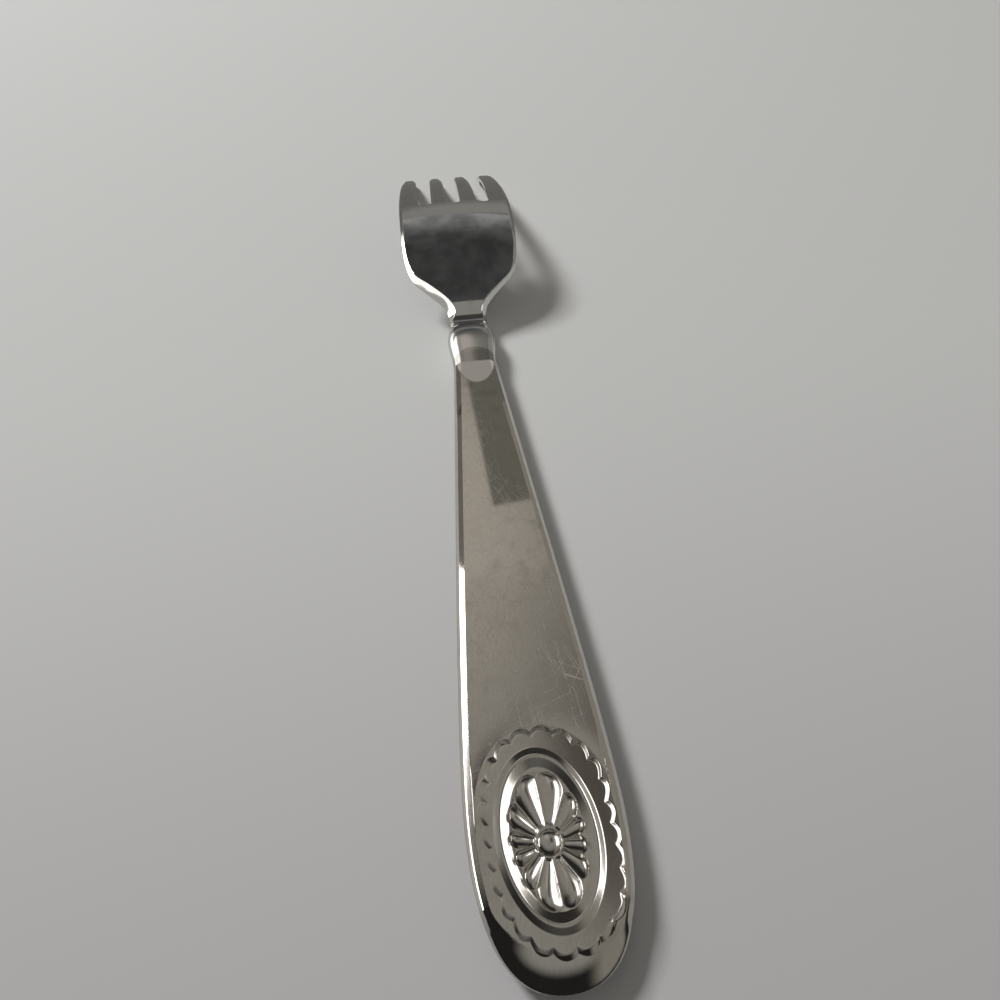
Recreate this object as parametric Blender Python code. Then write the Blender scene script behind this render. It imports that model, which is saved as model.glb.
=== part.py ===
# Dinner fork with a hollow handle, lying on its tine tips and on the rosette of its lower shell.
# Y runs from the handle's end to the tine tips, X across the fork, Z up from the table.

import math

import bmesh
import bpy
import numpy as np
from mathutils import Matrix

# Handle
HANDLE_LENGTH = 0.1110  # handle's end to the mouth
HANDLE_WIDTH = 0.0231  # at the widest point
WIDEST_FROM_END = 0.0215
MOUTH_WIDTH = 0.0090
MOUTH_TAPER = 0.085  # loss of half width per length where the handle meets the collar
HANDLE_THICKNESS = 0.0048
EDGE_ROLL = 0.0021  # radius of the rolled edge
SEAM_LAND = 0.0002  # least straight wall between the roll and the seam
END_REACH = 0.0062  # reach of the outline's curve across the blunt end
SIDE_REACH = 0.0175  # reach of the curve from the widest point towards the end
WAIST_REACH = 0.0120  # reach of the curve from the widest point towards the mouth
MOUTH_REACH = 0.0380  # reach of the curve from the mouth back towards the widest point
SHELL_WALL = 0.0006
SEAM_GAP = 0.0001  # hairline between the two shells
FIT = 0.0003  # clearance between pieces that seat on each other

# Rosette stamped on both shells
ROSETTE_FROM_END = 0.0185
ROSETTE_ASIDE = 0.0003  # the die sits a little off the handle's middle
ROSETTE_TURN = math.radians(4.0)  # and a little askew
PLATE_SIZE = (0.0203, 0.0308)  # lobed plate, across and along
PLATE_HEIGHT = 0.00042
PLATE_BEVEL = 0.0002
LOBES = 24
LOBE_DEPTH = 0.00055
RING_FOOT = (0.0160, 0.0250)
RING_CREST = (0.0136, 0.0216)  # inner line of the flat crest
CREST_WIDTH = 0.0006
RING_HEIGHT = 0.0009  # the tallest part of the relief, which the fork lies on
DISH_SIZE = (0.0114, 0.0192)
DISH_HEIGHT = 0.0001
PETALS = 12
PETAL_SIZE = (0.0108, 0.0158)  # oval that the petals end on
PETAL_HEIGHT = 0.00055
PETAL_PROFILE = ((0.35, 0.7), (0.72, 1.0), (0.93, 0.75))  # share of a petal's length, share of its height
BOSS_DIAMETER = 0.0031
BOSS_HEIGHT = 0.0008
MOAT_WIDTH = 0.0003  # flat floor round the boss
RELIEF_ROOT = 0.0003  # depth to which the relief is rooted in the shell's wall
STEPS_PER_LOBE = 4

# Collar, each value per side except the length
COLLAR_LENGTH = 0.0120
COLLAR_STEP = 0.0001  # rear rim stands proud of the handle's mouth
COLLAR_SWELL = 0.00045  # from the rear rim to the widest section
COLLAR_TAPER = 0.0003  # from the widest section to the front edge
COLLAR_TURN_IN = 0.0005  # at the front edge
COLLAR_LIP = 0.0001  # front rim stands proud of the throat
COLLAR_REAR_EDGE = 0.0014  # length of the turned-in rear edge
COLLAR_FRONT_EDGE = 0.0011
COLLAR_SQUARENESS = 3.2  # exponent of the rounded section
COLLAR_POINTS = 40
COLLAR_STEPS = 3  # sections along each edge and along the barrel

# Head, measured on the flat blank from the collar's front
HEAD_LENGTH = 0.0665
HEAD_WIDTH = 0.0256
WIDEST_FROM_COLLAR = 0.0242
THROAT_LENGTH = 0.0033
SHOULDER_WIDTH = 0.0166  # across the middle of the shoulders
SHOULDER_FROM_COLLAR = 0.0092
SHOULDER_SLOPE = 0.95  # rise per run at the middle of a shoulder
THROAT_REACH = 0.0024  # reach of the outline's curve out of the throat
SHOULDER_REACH_IN = 0.0022  # reach across before the middle of a shoulder
SHOULDER_REACH_OUT = 0.0035  # reach across after it
PALM_REACH = 0.0117  # reach of the curve below the widest point
OUTER_TINE_REACH = 0.0135  # reach of the curve above the widest point
TIP_REACH = 0.0110  # reach of the curve back from the outer tine's tip
TIP_BOW = 0.0009  # how far the outer tine's edge bows out there
PALM_LENGTH = 0.0318  # to the bottom of the slots
TINES = 4
OUTER_TINE_WIDTH = 0.0046  # at the root
SLOT_WIDTH = 0.0030
TINE_TIP_WIDTH = 0.0026
TINE_DRAW = 0.0004  # pitch lost from root to tip
TIP_ROUND = 0.0022
ROUND_STEPS = 8  # facets round a tip or a slot's bottom
THROAT_THICKNESS = 0.0029
PALM_THICKNESS = 0.0020
TIP_THICKNESS = 0.0013
BLANK_EDGE = 0.00028  # softened edge of the blank
PALM_DISH = 0.0007  # how far the palm's sides lie below its middle
NECK_BEND_LENGTH = 0.0062
PALM_STRAIGHT_END = 0.0175
PALM_SLOPE = math.radians(33.0)
CREST_END = 0.0340
CREST_SLOPE = math.radians(-13.5)
BEND_STEP = 0.0026  # length of one flat facet along the bend

# Tang and filler
TANG_IN_HANDLE = 0.0350
TANG_IN_THROAT = 0.0030
FILLER_SIDE = 0.0008  # filler left beside the tang
FILLER_COVER = 0.00045  # filler left over and under the tang
FILLER_RECESS = 0.0010  # filler stops this far inside the mouth

MARGIN = 0.010  # how far a cutter reaches past what it cuts

# Facets
SHARP_ANGLE = math.radians(35.0)  # edges sharper than this are not shaded smooth
FLAT_ANGLE = math.radians(0.05)  # faces flatter than this to each other become one
WELD_DISTANCE = 1e-6
END_STEPS, TAPER_STEPS = 14, 12  # along the handle's half outline
THROAT_STEPS, SHOULDER_STEPS, TINE_STEPS = 5, 8, 6  # along the head's half outline
ROLL_FACETS = 3  # rounding rows of a shell's edge, beyond the first
CORE_FACETS = 2  # the same for the cavity and the filler
BOSS_TILTS = (25.0, 55.0, 90.0)  # degrees from the boss's top to each of its rings
PROFILE_STEPS = 2000  # steps in which a curve's length is summed

# Sizes that follow from the ones above
AXIS_HEIGHT = HANDLE_THICKNESS / 2 + RING_HEIGHT  # of the seam above the table
ROLL = min(EDGE_ROLL, HANDLE_THICKNESS / 2 - SEAM_LAND)
TANG_WIDTH = MOUTH_WIDTH - 2 * (SHELL_WALL + FIT + FILLER_SIDE + FIT)
TANG_THICKNESS = HANDLE_THICKNESS - 2 * (SHELL_WALL + FIT + FILLER_COVER + FIT)
COLLAR_PROUD = np.cumsum([COLLAR_STEP, COLLAR_SWELL, -COLLAR_TAPER, -COLLAR_TURN_IN])
THROAT_WIDTH = MOUTH_WIDTH + 2 * (COLLAR_PROUD[-1] - COLLAR_LIP)
COLLAR_START = HANDLE_LENGTH + FIT
HEAD_START = COLLAR_START + COLLAR_LENGTH + FIT
SLOT_PITCH = 2 * (HEAD_WIDTH / 2 - OUTER_TINE_WIDTH - SLOT_WIDTH / 2) / (TINES - 2)


def bezier(start, pull_start, pull_end, end, steps):
    """Points of a cubic curve, without its first point."""
    t = np.linspace(0.0, 1.0, steps + 1)[1:, None]
    knots = [np.array(p) for p in (start, pull_start, pull_end, end)]
    weights = ((1 - t) ** 3, 3 * t * (1 - t) ** 2, 3 * t**2 * (1 - t), t**3)
    return sum(w * k for w, k in zip(weights, knots))


def place(name, mesh, collection, parent=None):
    """A mesh as a named, smooth-shaded object in a collection."""
    obj = bpy.data.objects.new(name, mesh)
    collection.objects.link(obj)
    obj.parent = parent
    mesh.shade_smooth()
    mesh.set_sharp_from_angle(angle=SHARP_ANGLE)
    return obj


def hide(cutter):
    cutter.hide_render = True
    cutter.display_type = "WIRE"


def cut(obj, tool, operation):
    modifier = obj.modifiers.new(operation.lower(), "BOOLEAN")
    modifier.object = tool
    modifier.operation = operation
    modifier.solver = "EXACT"


def box(name, low, high, cutters):
    """A cutter box between two corners."""
    low, high = np.array(low), np.array(high)
    mesh = bpy.data.meshes.new(name)
    bm = bmesh.new()
    bmesh.ops.create_cube(bm, size=1.0)
    for vert in bm.verts:
        vert.co = (low + high) / 2 + np.array(vert.co) * (high - low)
    bm.to_mesh(mesh)
    bm.free()
    obj = bpy.data.objects.new(name, mesh)
    cutters.objects.link(obj)
    hide(obj)
    return obj


def weld(mesh):
    """Join a curve's caps to its sides and turn every face outwards."""
    bm = bmesh.new()
    bm.from_mesh(mesh)
    bmesh.ops.remove_doubles(bm, verts=bm.verts, dist=WELD_DISTANCE)
    bmesh.ops.dissolve_limit(bm, angle_limit=FLAT_ANGLE, verts=bm.verts, edges=bm.edges)
    bmesh.ops.recalc_face_normals(bm, faces=bm.faces)
    bm.to_mesh(mesh)
    bm.free()


def slab(name, outline, half_height, edge, inset, resolution):
    """A closed slab whose edge is rounded by edge, and whose side lies inset less edge inside the outline."""
    curve = bpy.data.curves.new(name, "CURVE")
    curve.dimensions = "2D"
    curve.fill_mode = "BOTH"
    curve.extrude = half_height - edge
    curve.bevel_depth = edge
    curve.bevel_resolution = resolution
    curve.offset = -inset
    spline = curve.splines.new("POLY")
    spline.points.add(len(outline) - 1)
    points = np.column_stack([outline, np.zeros(len(outline)), np.ones(len(outline))])
    spline.points.foreach_set("co", points.ravel())
    spline.use_cyclic_u = True
    holder = bpy.data.objects.new(name, curve)
    bpy.context.scene.collection.objects.link(holder)
    depsgraph = bpy.context.evaluated_depsgraph_get()
    mesh = bpy.data.meshes.new_from_object(holder.evaluated_get(depsgraph))
    mesh.name = name
    bpy.data.objects.remove(holder)
    bpy.data.curves.remove(curve)
    weld(mesh)
    return mesh


def loft(name, rings):
    """A closed solid through rings of equal count, with flat ends."""
    count = len(rings[0])
    bm = bmesh.new()
    rows = [[bm.verts.new(point) for point in ring] for ring in rings]
    for low, high in zip(rows, rows[1:]):
        for i in range(count):
            j = (i + 1) % count
            bm.faces.new((low[i], low[j], high[j], high[i]))
    bm.faces.new(rows[0][::-1])
    bm.faces.new(rows[-1])
    bmesh.ops.recalc_face_normals(bm, faces=bm.faces)
    mesh = bpy.data.meshes.new(name)
    bm.to_mesh(mesh)
    bm.free()
    return mesh


def metal(name, colour, roughness, metallic=1.0):
    material = bpy.data.materials.new(name)
    material.use_nodes = True
    shader = material.node_tree.nodes["Principled BSDF"]
    shader.inputs["Base Color"].default_value = (*colour, 1.0)
    shader.inputs["Roughness"].default_value = roughness
    shader.inputs["Metallic"].default_value = metallic
    return material


def handle_outline():
    """Half outline from the blunt end over the widest point to the mouth and past it, then mirrored."""
    half, mouth = HANDLE_WIDTH / 2, MOUTH_WIDTH / 2
    end = (0.0, 0.0)
    widest = (half, WIDEST_FROM_END)
    gate = (mouth, HANDLE_LENGTH)
    mouth_pull = (mouth + MOUTH_TAPER * MOUTH_REACH, HANDLE_LENGTH - MOUTH_REACH)
    blunt = bezier(end, (END_REACH, 0.0), (half, WIDEST_FROM_END - SIDE_REACH), widest, END_STEPS)
    taper = bezier(widest, (half, WIDEST_FROM_END + WAIST_REACH), mouth_pull, gate, TAPER_STEPS)
    past = (mouth - MOUTH_TAPER * MARGIN, HANDLE_LENGTH + MARGIN)
    right = np.vstack([blunt, taper, past])
    left = right[::-1] * (-1.0, 1.0)
    return np.vstack([[end], right, left])


def handle_slab(name, inset, resolution):
    """The handle's whole form, drawn in all round by inset from the shells' outer face."""
    return slab(name, handle_outline(), HANDLE_THICKNESS / 2 - inset, ROLL - inset, ROLL, resolution)


def oval(size, angles):
    """Points on an oval at true angles from +X."""
    reach = 0.5 / np.hypot(np.cos(angles) / size[0], np.sin(angles) / size[1])
    return np.column_stack([reach * np.cos(angles), reach * np.sin(angles)])


def grown(size, step):
    return tuple(side + 2 * step for side in size)


def even_angles(size, count):
    """Angles that space points evenly along an oval's edge, from +X."""
    fine = np.linspace(0.0, 2 * math.pi, PROFILE_STEPS + 1)
    edges = np.hypot(*np.diff(oval(size, fine), axis=0).T)
    run = np.concatenate([[0.0], np.cumsum(edges)])
    return np.interp(np.arange(count) / count * run[-1], run, fine)


def rosette_mesh():
    """Relief of boss, petals, dish, raised ring and lobed plate, lofted in rings from the middle out."""
    count = LOBES * STEPS_PER_LOBE
    turn = np.arange(count) / count * 2 * math.pi
    petal = 0.5 - 0.5 * np.cos(PETALS * turn)
    notch = LOBE_DEPTH * (1.0 - np.abs(np.sin(LOBES / 2 * turn)))
    moat = grown((BOSS_DIAMETER, BOSS_DIAMETER), MOAT_WIDTH)
    rings = []

    def ring(flat, height):
        rings.append(np.column_stack([flat, HANDLE_THICKNESS / 2 + height + np.zeros(count)]))

    for tilt in np.radians(BOSS_TILTS):
        dome = DISH_HEIGHT + (BOSS_HEIGHT - DISH_HEIGHT) * math.cos(tilt)
        ring(oval((BOSS_DIAMETER, BOSS_DIAMETER), turn) * math.sin(tilt), dome)
    ring(oval(moat, turn), DISH_HEIGHT)
    for share, rise in PETAL_PROFILE:
        reach = oval(moat, turn) * (1.0 - share) + oval(PETAL_SIZE, turn) * share
        ring(reach, DISH_HEIGHT + PETAL_HEIGHT * rise * petal)
    ring(oval(PETAL_SIZE, turn), DISH_HEIGHT)
    ring(oval(DISH_SIZE, turn), DISH_HEIGHT)
    ring(oval(RING_CREST, turn), RING_HEIGHT)
    ring(oval(grown(RING_CREST, CREST_WIDTH), turn), RING_HEIGHT)
    ring(oval(RING_FOOT, turn), PLATE_HEIGHT)
    edge = oval(PLATE_SIZE, even_angles(PLATE_SIZE, count))
    inward = edge / np.hypot(*edge.T)[:, None]
    ring(edge - inward * (notch + PLATE_BEVEL)[:, None], PLATE_HEIGHT)
    ring(edge - inward * notch[:, None], -RELIEF_ROOT)
    mesh = loft("rosette", rings)
    centre = Matrix.Translation((ROSETTE_ASIDE, ROSETTE_FROM_END, 0.0))
    mesh.transform(centre @ Matrix.Rotation(ROSETTE_TURN, 4, "Z"))
    return mesh


def make_shell(name, parts, cutters, parent):
    """Upper half of the handle: slab less cavity, cut at seam and mouth, with the rosette on it."""
    shell = place(name, handle_slab(name, 0.0, ROLL_FACETS), parts, parent)
    cavity = place("cavity", handle_slab("cavity", SHELL_WALL, CORE_FACETS), cutters)
    rosette = place("rosette", rosette_mesh(), cutters)
    low = (-HANDLE_WIDTH, -MARGIN, SEAM_GAP / 2)
    half = box("upper_half", low, (HANDLE_WIDTH, HANDLE_LENGTH, HANDLE_THICKNESS), cutters)
    for cutter in (cavity, rosette):
        hide(cutter)
    cut(shell, cavity, "DIFFERENCE")
    cut(shell, half, "INTERSECT")
    cut(shell, rosette, "UNION")
    return shell


def make_twin(name, shell, parts, parent):
    """The same pressing turned over about the fork's length, as the lower half."""
    depsgraph = bpy.context.evaluated_depsgraph_get()
    mesh = bpy.data.meshes.new_from_object(shell.evaluated_get(depsgraph))
    mesh.materials.clear()
    twin = place(name, mesh, parts, parent)
    twin.rotation_euler = (0.0, math.pi, 0.0)
    return twin


def make_filler(name, parts, cutters, parent, pocket):
    """Core that fills the cavity up to the mouth and takes the tang in its pocket."""
    filler = place(name, handle_slab(name, SHELL_WALL + FIT, CORE_FACETS), parts, parent)
    low = (-HANDLE_WIDTH, -MARGIN, -HANDLE_THICKNESS)
    high = (HANDLE_WIDTH, HANDLE_LENGTH - FILLER_RECESS, HANDLE_THICKNESS)
    cut(filler, box("filler_length", low, high, cutters), "INTERSECT")
    cut(filler, pocket, "DIFFERENCE")
    return filler


def collar_proud(along):
    """How far the barrel stands out from the mouth: quarter rounds at its edges, straight between."""
    rear, widest, front, rim = COLLAR_PROUD
    to_front = along - (COLLAR_LENGTH - COLLAR_FRONT_EDGE)
    if along < COLLAR_REAR_EDGE:
        return rear + (widest - rear) * math.sqrt(1.0 - (1.0 - along / COLLAR_REAR_EDGE) ** 2)
    if to_front > 0.0:
        return rim + (front - rim) * math.sqrt(max(0.0, 1.0 - (to_front / COLLAR_FRONT_EDGE) ** 2))
    return float(np.interp(along, [COLLAR_REAR_EDGE, COLLAR_LENGTH - COLLAR_FRONT_EDGE], [widest, front]))


def make_collar(name, parts, parent, pocket):
    """Barrel of rounded sections from the handle's mouth to the throat, with the tang's slot through it."""
    turn = np.arange(COLLAR_POINTS) / COLLAR_POINTS * 2 * math.pi
    power = 2.0 / COLLAR_SQUARENESS
    across = np.sign(np.cos(turn)) * np.abs(np.cos(turn)) ** power
    upward = np.sign(np.sin(turn)) * np.abs(np.sin(turn)) ** power
    edges = [0.0, COLLAR_REAR_EDGE, COLLAR_LENGTH - COLLAR_FRONT_EDGE, COLLAR_LENGTH]
    spans = np.linspace(0.0, len(edges) - 1, COLLAR_STEPS * (len(edges) - 1) + 1)
    rings = []
    for along in np.interp(spans, range(len(edges)), edges):
        half_width = MOUTH_WIDTH / 2 + collar_proud(along)
        half_height = HANDLE_THICKNESS / 2 + collar_proud(along)
        level = np.full(COLLAR_POINTS, COLLAR_START + along)
        rings.append(np.column_stack([across * half_width, level, upward * half_height]))
    collar = place(name, loft(name, rings), parts, parent)
    cut(collar, pocket, "DIFFERENCE")
    return collar


def tang_box(name, clearance, cutters):
    """The tang's own block, or with a clearance the pocket that takes it."""
    rear = HANDLE_LENGTH - TANG_IN_HANDLE - clearance
    half_width = TANG_WIDTH / 2 + clearance
    half_height = TANG_THICKNESS / 2 + clearance
    front = HEAD_START + TANG_IN_THROAT
    return box(name, (-half_width, rear, -half_height), (half_width, front, half_height), cutters)


def tip_arc(centre):
    """Half oval over a tine's end, from its outer side to its inner side."""
    turn = np.linspace(0.0, math.pi, ROUND_STEPS + 1)
    across = centre + TINE_TIP_WIDTH / 2 * np.cos(turn)
    return np.column_stack([across, HEAD_LENGTH - TIP_ROUND + TIP_ROUND * np.sin(turn)])


def slot_bottom(centre):
    """Half round at a slot's bottom, from its outer side to its inner side."""
    turn = np.linspace(0.0, math.pi, ROUND_STEPS + 1)
    radius = SLOT_WIDTH / 2
    return np.column_stack([centre + radius * np.cos(turn), PALM_LENGTH + radius * (1.0 - np.sin(turn))])


def head_outline():
    """Half outline of the flat blank: throat, shoulder, palm, tines and slots, then mirrored."""
    throat, wide = THROAT_WIDTH / 2, HEAD_WIDTH / 2
    tip_pitch = SLOT_PITCH - TINE_DRAW
    outer_tip = tip_pitch * (TINES - 1) / 2 + TINE_TIP_WIDTH / 2
    slope = np.array([1.0, SHOULDER_SLOPE])
    throat_end = np.array([throat, THROAT_LENGTH])
    shoulder = np.array([SHOULDER_WIDTH / 2, SHOULDER_FROM_COLLAR])
    widest = np.array([wide, WIDEST_FROM_COLLAR])
    tip = np.array([outer_tip, HEAD_LENGTH - TIP_ROUND])
    along = np.array([0.0, 1.0])
    before, after = shoulder - slope * SHOULDER_REACH_IN, shoulder + slope * SHOULDER_REACH_OUT
    below, above = widest - along * PALM_REACH, widest + along * OUTER_TINE_REACH
    runs = [
        [[throat, 0.0], throat_end],
        bezier(throat_end, throat_end + along * THROAT_REACH, before, shoulder, THROAT_STEPS),
        bezier(shoulder, after, below, widest, SHOULDER_STEPS),
        bezier(widest, above, tip + (TIP_BOW, -TIP_REACH), tip, TINE_STEPS)[:-1],
    ]
    for index in range(TINES // 2 - 1, -1, -1):
        runs.append(tip_arc(tip_pitch * (index + 0.5)))
        runs.append(slot_bottom(SLOT_PITCH * index))
    right = np.vstack(runs)[: -(ROUND_STEPS // 2)]
    left = right[:-1][::-1] * (-1.0, 1.0)
    return np.vstack([right, left])


def bend_path(tip_slope):
    """Side profile of the bent blank: its slope changes evenly between these places."""
    places = [0.0, NECK_BEND_LENGTH, PALM_STRAIGHT_END, CREST_END, HEAD_LENGTH]
    slopes = [0.0, PALM_SLOPE, PALM_SLOPE, CREST_SLOPE, tip_slope]
    along = np.linspace(0.0, HEAD_LENGTH, PROFILE_STEPS + 1)
    slope = np.interp(along, places, slopes)
    middle = (slope[1:] + slope[:-1]) / 2
    step = along[1]
    forward = np.concatenate([[0.0], np.cumsum(np.cos(middle)) * step])
    upward = np.concatenate([[0.0], np.cumsum(np.sin(middle)) * step])
    return along, forward, upward, slope


def bend(points, path):
    """Flat blank points carried onto the side profile, with the blank's taper and the palm's dish."""
    along, forward, upward, slope = path
    x, y, z = points.T
    stops = [0.0, THROAT_LENGTH, PALM_STRAIGHT_END, PALM_LENGTH, HEAD_LENGTH]
    gauge = [THROAT_THICKNESS, THROAT_THICKNESS, PALM_THICKNESS, PALM_THICKNESS, TIP_THICKNESS]
    thickness = np.interp(y, stops, gauge)
    dish = PALM_DISH * np.interp(y, stops, [0.0, 0.0, 1.0, 1.0, 0.0])
    rise = z * thickness / PALM_THICKNESS - dish * (2 * x / HEAD_WIDTH) ** 2
    angle = np.interp(y, along, slope)
    level = HEAD_START + np.interp(y, along, forward) - rise * np.sin(angle)
    return np.column_stack([x, level, np.interp(y, along, upward) + rise * np.cos(angle)])


def resting_path():
    """The profile whose tine tips come down exactly to the table, found by halving the tips' slope."""
    under = -PALM_THICKNESS / 2
    corners = np.array([[0.0, HEAD_LENGTH - BLANK_EDGE, under], [0.0, HEAD_LENGTH, under + BLANK_EDGE]])
    steep, shallow = math.radians(-88.0), 0.0
    for _ in range(50):
        middle = (steep + shallow) / 2
        if bend(corners, bend_path(middle))[:, 2].min() < -AXIS_HEIGHT:
            steep = middle
        else:
            shallow = middle
    return bend_path(shallow)


def make_head(name, parts, parent, tang):
    """Stamped blank with its tines, bent over the side profile and joined to its tang."""
    mesh = slab(name, head_outline(), PALM_THICKNESS / 2, BLANK_EDGE, BLANK_EDGE, 0)
    folds = [((0.0, y, 0.0), (0, 1, 0)) for y in np.arange(BEND_STEP, HEAD_LENGTH, BEND_STEP)]
    folds += [((SLOT_PITCH * k / 2, 0.0, 0.0), (1, 0, 0)) for k in range(1 - TINES, TINES)]
    bm = bmesh.new()
    bm.from_mesh(mesh)
    for spot, normal in folds:
        everything = bm.verts[:] + bm.edges[:] + bm.faces[:]
        bmesh.ops.bisect_plane(bm, geom=everything, plane_co=spot, plane_no=normal, dist=1e-7)
    flat = np.array([vert.co for vert in bm.verts])
    for vert, point in zip(bm.verts, bend(flat, resting_path())):
        vert.co = point
    bmesh.ops.triangulate(bm, faces=bm.faces)
    bmesh.ops.recalc_face_normals(bm, faces=bm.faces)
    bm.to_mesh(mesh)
    bm.free()
    head = place(name, mesh, parts, parent)
    cut(head, tang, "UNION")
    return head


def main():
    for obj in list(bpy.data.objects):
        bpy.data.objects.remove(obj)
    parts = bpy.data.collections.new("dinner_fork")
    cutters = bpy.data.collections.new("dinner_fork_cutters")
    for collection in (parts, cutters):
        bpy.context.scene.collection.children.link(collection)
    rest = bpy.data.objects.new("fork_rest", None)
    parts.objects.link(rest)

    tang = tang_box("tang_block", 0.0, cutters)
    pocket = tang_box("tang_pocket", FIT, cutters)
    head = make_head("fork_head", parts, rest, tang)
    collar = make_collar("neck_collar", parts, rest, pocket)
    back = make_shell("handle_back_shell", parts, cutters, rest)
    front = make_twin("handle_front_shell", back, parts, rest)
    filler = make_filler("handle_filler", parts, cutters, rest, pocket)

    head.data.materials.append(metal("polished_steel", (0.62, 0.61, 0.60), 0.08))
    collar.data.materials.append(metal("collar_steel", (0.60, 0.59, 0.57), 0.12))
    back.data.materials.append(metal("satin_steel", (0.55, 0.53, 0.50), 0.28))
    front.data.materials.append(metal("worn_steel", (0.52, 0.50, 0.47), 0.32))
    filler.data.materials.append(metal("cement", (0.55, 0.50, 0.42), 0.95, 0.0))

    overall = max(vert.co.y for vert in head.data.vertices)
    rest.location = (0.0, -overall / 2, AXIS_HEIGHT)
    for cutter in cutters.objects:
        cutter.parent = rest


main()
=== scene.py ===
# Dinner fork lying back up on a pale table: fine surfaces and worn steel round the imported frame
import math

import bmesh
import bpy
import numpy as np
from mathutils import Matrix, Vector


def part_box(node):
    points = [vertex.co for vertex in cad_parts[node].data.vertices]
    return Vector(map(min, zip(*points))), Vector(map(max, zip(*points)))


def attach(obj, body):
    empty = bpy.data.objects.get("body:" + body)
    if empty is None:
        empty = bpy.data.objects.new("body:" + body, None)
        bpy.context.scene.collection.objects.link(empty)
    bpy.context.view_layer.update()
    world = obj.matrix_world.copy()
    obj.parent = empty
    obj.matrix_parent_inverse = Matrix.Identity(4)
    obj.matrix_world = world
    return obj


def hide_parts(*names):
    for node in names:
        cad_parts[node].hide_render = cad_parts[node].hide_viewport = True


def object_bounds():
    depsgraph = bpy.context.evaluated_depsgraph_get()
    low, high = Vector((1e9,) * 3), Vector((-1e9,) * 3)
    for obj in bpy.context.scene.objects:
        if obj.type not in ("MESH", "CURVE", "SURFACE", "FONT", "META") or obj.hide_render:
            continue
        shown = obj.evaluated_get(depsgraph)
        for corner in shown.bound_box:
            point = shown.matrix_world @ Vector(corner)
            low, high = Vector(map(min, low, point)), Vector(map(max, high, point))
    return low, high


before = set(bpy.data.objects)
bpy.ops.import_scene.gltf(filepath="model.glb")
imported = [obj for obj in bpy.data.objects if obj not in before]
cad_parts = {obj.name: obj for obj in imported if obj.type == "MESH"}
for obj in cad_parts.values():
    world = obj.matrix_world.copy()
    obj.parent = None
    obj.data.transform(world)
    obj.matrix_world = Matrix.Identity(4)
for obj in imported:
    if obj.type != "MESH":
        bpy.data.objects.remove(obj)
cadBox = [list(corner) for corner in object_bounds()]
scene = bpy.context.scene

endY = cadBox[0][1]  # the handle's blunt end, where lengths along the fork start
seamZ = (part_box("handle_back_shell")[0].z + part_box("handle_front_shell")[1].z) / 2  # plane between the shells
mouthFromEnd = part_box("handle_back_shell")[1].y - endY
print("frame loaded, seam at", round(seamZ, 5), "mouth at", round(mouthFromEnd, 5))


# Small tools for arrays and meshes

def smooth(low, high, value):  # 0 below low, 1 above high, an S curve between
    t = np.clip((value - low) / (high - low), 0.0, 1.0)
    return t * t * (3 - 2 * t)


def bezier(start, pullStart, pullEnd, end, steps):  # points of a cubic curve with both ends
    t = np.linspace(0.0, 1.0, steps + 1)[:, None]
    a, b, c, d = (np.array(p, float) for p in (start, pullStart, pullEnd, end))
    return a * (1 - t) ** 3 + 3 * b * t * (1 - t) ** 2 + 3 * c * t**2 * (1 - t) + d * t**3


def edgeDistance(points, starts, ends):  # least distance from each flat point to a set of segments
    best = np.full(len(points), np.inf)
    batch = 40  # segments taken at once, to spare memory
    for low in range(0, len(starts), batch):
        a, b = starts[low:low + batch], ends[low:low + batch]
        run = b - a
        gap = points[:, None] - a[None]
        share = np.clip((gap * run).sum(2) / np.maximum((run * run).sum(1), 1e-18), 0.0, 1.0)
        best = np.minimum(best, np.hypot(*(gap - share[..., None] * run).transpose(2, 0, 1)).min(1))
    return best


def quarterRound(inside, edge):  # 0 further in than the edge's width, then a quarter circle up to 1 at the end
    return 1 - np.sqrt(np.maximum(1 - np.maximum(1 - inside / edge, 0.0) ** 2, 0.0))


def roundedTable(value, places, heights, mean, margin):  # read off a table whose corners a running mean rounds
    fine = np.linspace(-margin, 1 + margin, round(1000 * (1 + 2 * margin)) + 1)
    blur = np.hanning(mean)
    return np.interp(value, fine, np.convolve(np.interp(fine, places, heights), blur / blur.sum(), "same"))


def gridQuads(index):  # four corners of every cell in a table of vertex numbers
    return np.stack([index[:-1, :-1], index[:-1, 1:], index[1:, 1:], index[1:, :-1]], -1).reshape(-1, 4)


def bandQuads(first, second):  # cells between two equal rows of vertex numbers
    return np.stack([first[:-1], first[1:], second[1:], second[:-1]], -1)


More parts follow.
